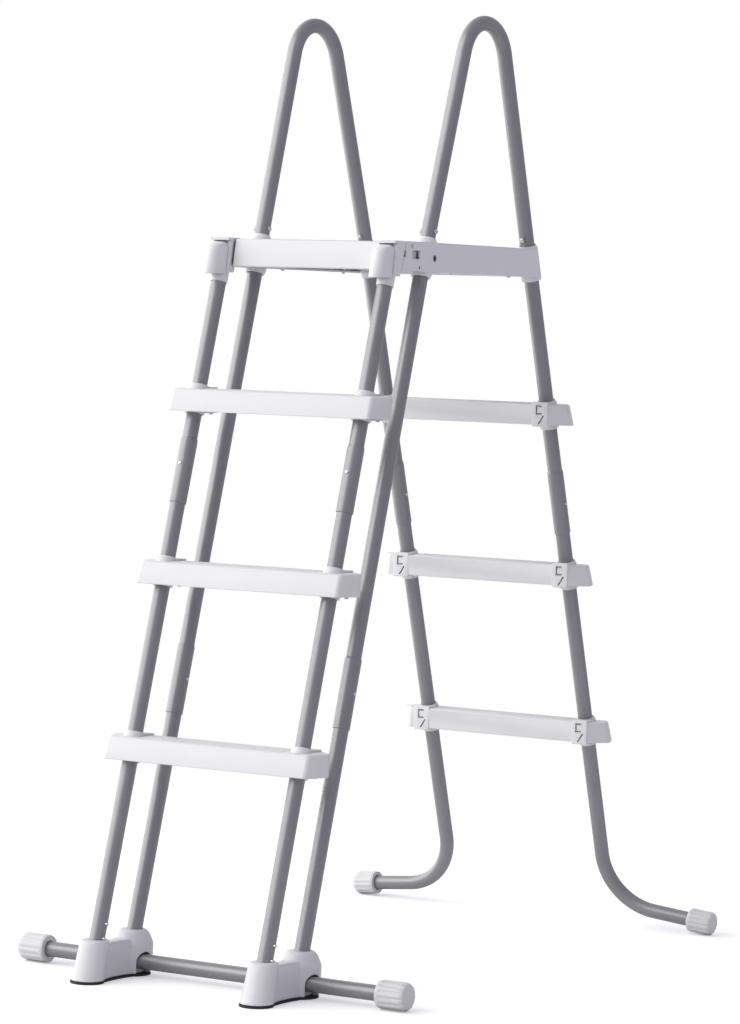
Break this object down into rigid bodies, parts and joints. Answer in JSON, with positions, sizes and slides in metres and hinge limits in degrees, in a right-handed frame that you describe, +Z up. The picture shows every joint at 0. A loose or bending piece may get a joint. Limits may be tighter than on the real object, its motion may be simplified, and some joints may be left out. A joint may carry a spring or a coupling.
{
  "type": "pool ladder",
  "caption": "A-frame ladder for an above-ground pool: platform with hoop handrails, fixed inner flight and an outer flight that lifts off its base sockets.",
  "frame": {"origin": "on the floor, in the middle of the bounding box, under the platform", "axes": "+Z up, +X along the treads to the right as seen by a climber on the removable flight, +Y from the removable garden-side flight towards the fixed pool-side flight"},
  "size_m": [0.798, 1.2759, 1.6906],
  "materials": {
    "base_cap_left": "moulded white plastic, semi-gloss",
    "base_cap_right": "moulded white plastic, semi-gloss",
    "base_foot_left": "moulded white plastic, semi-gloss",
    "base_foot_right": "moulded white plastic, semi-gloss",
    "base_tube": "glossy grey powder coat",
    "deck_screw_front_left": "plated steel",
    "deck_screw_front_right": "plated steel",
    "deck_screw_rear_left": "plated steel",
    "deck_screw_rear_right": "plated steel",
    "foot_sole_left": "matt moulded rubber",
    "foot_sole_right": "matt moulded rubber",
    "front_leg_button_left": "plated steel",
    "front_leg_button_right": "plated steel",
    "front_leg_lower_left": "glossy grey powder coat",
    "front_leg_lower_right": "glossy grey powder coat",
    "front_leg_upper_left": "glossy grey powder coat",
    "front_leg_upper_right": "glossy grey powder coat",
    "handrail_left": "glossy grey powder coat",
    "handrail_right": "glossy grey powder coat",
    "hook_cap_left": "moulded white plastic, semi-gloss",
    "hook_cap_right": "moulded white plastic, semi-gloss",
    "hub_screw_left": "plated steel",
    "hub_screw_right": "plated steel",
    "lift_leg_button_left": "plated steel",
    "lift_leg_button_right": "plated steel",
    "lift_leg_lower_left": "glossy grey powder coat",
    "lift_leg_lower_right": "glossy grey powder coat",
    "lift_leg_upper_left": "glossy grey powder coat",
    "lift_leg_upper_right": "glossy grey powder coat",
    "lift_tread_1": "moulded white plastic, semi-gloss",
    "lift_tread_2": "moulded white plastic, semi-gloss",
    "lift_tread_3": "moulded white plastic, semi-gloss",
    "platform_deck": "moulded white plastic, semi-gloss",
    "rail_bolt_front_left": "plated steel",
    "rail_bolt_front_right": "plated steel",
    "rail_bolt_rear_left": "plated steel",
    "rail_bolt_rear_right": "plated steel",
    "rear_cap_left": "moulded white plastic, semi-gloss",
    "rear_cap_right": "moulded white plastic, semi-gloss",
    "rear_leg_button_left": "plated steel",
    "rear_leg_button_right": "plated steel",
    "rear_leg_lower_left": "glossy grey powder coat",
    "rear_leg_lower_right": "glossy grey powder coat",
    "rear_leg_upper_left": "glossy grey powder coat",
    "rear_leg_upper_right": "glossy grey powder coat",
    "rear_tread_1": "moulded white plastic, semi-gloss",
    "rear_tread_2": "moulded white plastic, semi-gloss",
    "rear_tread_3": "moulded white plastic, semi-gloss",
    "release_clip_left": "plated steel",
    "release_clip_right": "plated steel",
    "side_plate_left": "moulded white plastic, semi-gloss",
    "side_plate_right": "moulded white plastic, semi-gloss"
  },
  "bodies": {
    "frame": {"base_cap_left": "base_cap_left", "base_cap_right": "base_cap_right", "base_foot_left": "base_foot_left", "base_foot_right": "base_foot_right", "base_tube": "base_tube", "deck_screw_front_left": "deck_screw_front_left", "deck_screw_front_right": "deck_screw_front_right", "deck_screw_rear_left": "deck_screw_rear_left", "deck_screw_rear_right": "deck_screw_rear_right", "foot_sole_left": "foot_sole_left", "foot_sole_right": "foot_sole_right", "front_leg_button_left": "front_leg_button_left", "front_leg_button_right": "front_leg_button_right", "front_leg_lower_left": "front_leg_lower_left", "front_leg_lower_right": "front_leg_lower_right", "front_leg_upper_left": "front_leg_upper_left", "front_leg_upper_right": "front_leg_upper_right", "handrail_left": "handrail_left", "handrail_right": "handrail_right", "hub_screw_left": "hub_screw_left", "hub_screw_right": "hub_screw_right", "platform_deck": "platform_deck", "rail_bolt_front_left": "rail_bolt_front_left", "rail_bolt_front_right": "rail_bolt_front_right", "rail_bolt_rear_left": "rail_bolt_rear_left", "rail_bolt_rear_right": "rail_bolt_rear_right", "rear_cap_left": "rear_cap_left", "rear_cap_right": "rear_cap_right", "rear_leg_button_left": "rear_leg_button_left", "rear_leg_button_right": "rear_leg_button_right", "rear_leg_lower_left": "rear_leg_lower_left", "rear_leg_lower_right": "rear_leg_lower_right", "rear_leg_upper_left": "rear_leg_upper_left", "rear_leg_upper_right": "rear_leg_upper_right", "rear_tread_1": "rear_tread_1", "rear_tread_2": "rear_tread_2", "rear_tread_3": "rear_tread_3", "side_plate_left": "side_plate_left", "side_plate_right": "side_plate_right"},
    "lift_flight": {"hook_cap_left": "hook_cap_left", "hook_cap_right": "hook_cap_right", "lift_leg_button_left": "lift_leg_button_left", "lift_leg_button_right": "lift_leg_button_right", "lift_leg_lower_left": "lift_leg_lower_left", "lift_leg_lower_right": "lift_leg_lower_right", "lift_leg_upper_left": "lift_leg_upper_left", "lift_leg_upper_right": "lift_leg_upper_right", "lift_tread_1": "lift_tread_1", "lift_tread_2": "lift_tread_2", "lift_tread_3": "lift_tread_3"},
    "release_left": {"release_clip_left": "release_clip_left"},
    "release_right": {"release_clip_right": "release_clip_right"}
  },
  "joints": [
    {"name": "steps_lift", "type": "slide", "parent": "frame", "child": "lift_flight", "axis": [0, 0.2669, 0.9637], "range_m": [0, 0.12]},
    {"name": "left_button_press", "type": "slide", "parent": "lift_flight", "child": "release_left", "axis": [-1, 0, 0], "range_m": [0, 0.004], "stiffness_N_per_m": 900},
    {"name": "right_button_press", "type": "slide", "parent": "lift_flight", "child": "release_right", "axis": [-1, 0, 0], "range_m": [0, 0.004], "stiffness_N_per_m": 900}
  ]
}
